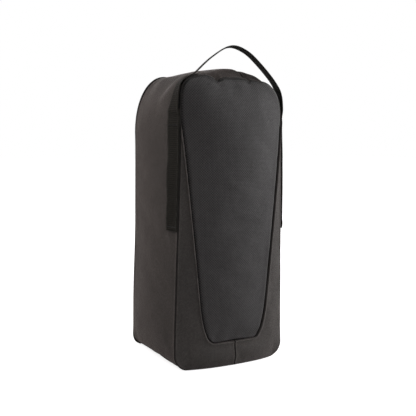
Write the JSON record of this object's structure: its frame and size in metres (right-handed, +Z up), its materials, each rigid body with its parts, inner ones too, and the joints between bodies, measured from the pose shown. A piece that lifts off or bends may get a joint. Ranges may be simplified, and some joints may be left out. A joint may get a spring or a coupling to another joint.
{
  "type": "shoe bag",
  "caption": "Tall soft box-shaped shoe bag with a tapered front panel, a sewn webbing carry loop and a zipped fold-down back.",
  "frame": {"origin": "on the floor, in the middle of the base panel's underside", "axes": "+Z up and the longest extent, -Y the front, +X the bag's right as seen from the front"},
  "size_m": [0.1698, 0.1582, 0.4211],
  "materials": {
    "shell_fabric": "plain-weave polyester, matt",
    "front_fabric": "coarser diagonal weave, matt",
    "webbing": "ribbed webbing, matt",
    "zip_fabric": "woven zip tape, matt",
    "binding_fabric": "binding tape, matt",
    "coil_nylon": "satin nylon",
    "thread": "polyester thread",
    "slider_enamel": "black enamel over metal",
    "grip_rubber": "moulded, matt"
  },
  "bodies": {
    "shell": {"front_centre_panel": "front_fabric", "front_wing_left": "shell_fabric", "front_wing_right": "shell_fabric", "gusset_band": "shell_fabric", "base_panel": "shell_fabric", "back_sill": "shell_fabric", "front_seam_binding": "binding_fabric", "back_seam_binding": "binding_fabric", "handle_leg_left": "webbing", "handle_leg_right": "webbing", "bartack_upper_left": "thread", "bartack_upper_right": "thread", "bartack_lower_left": "thread", "bartack_lower_right": "thread", "zip_tape_gusset": "zip_fabric", "zip_coil_gusset": "coil_nylon", "zip_stop_left": "coil_nylon", "zip_stop_right": "coil_nylon"},
    "back_door": {"back_door_panel": "shell_fabric", "zip_tape_door": "zip_fabric", "zip_coil_door": "coil_nylon"},
    "slider": {"slider_body": "slider_enamel"},
    "pull": {"pull_tab": "slider_enamel", "pull_grip": "grip_rubber"},
    "handle": {"handle_loop": "webbing"}
  },
  "joints": [
    {"name": "door_fold", "type": "hinge", "parent": "shell", "child": "back_door", "pos_m": [0, 0.0699, 0.0217], "axis": [-1, 0, 0], "range_deg": [0, 88]},
    {"name": "slider_travel", "type": "slide", "parent": "back_door", "child": "slider", "axis": [0, 0, 1], "range_m": [0, 0.227]},
    {"name": "pull_swing", "type": "hinge", "parent": "slider", "child": "pull", "pos_m": [0.06515, 0.0736, 0.067], "axis": [1, 0, 0], "range_deg": [0, 150]},
    {"name": "handle_swing", "type": "hinge", "parent": "shell", "child": "handle", "pos_m": [0, -0.058, 0.332], "axis": [1, 0, 0], "range_deg": [-5, 90]}
  ]
}
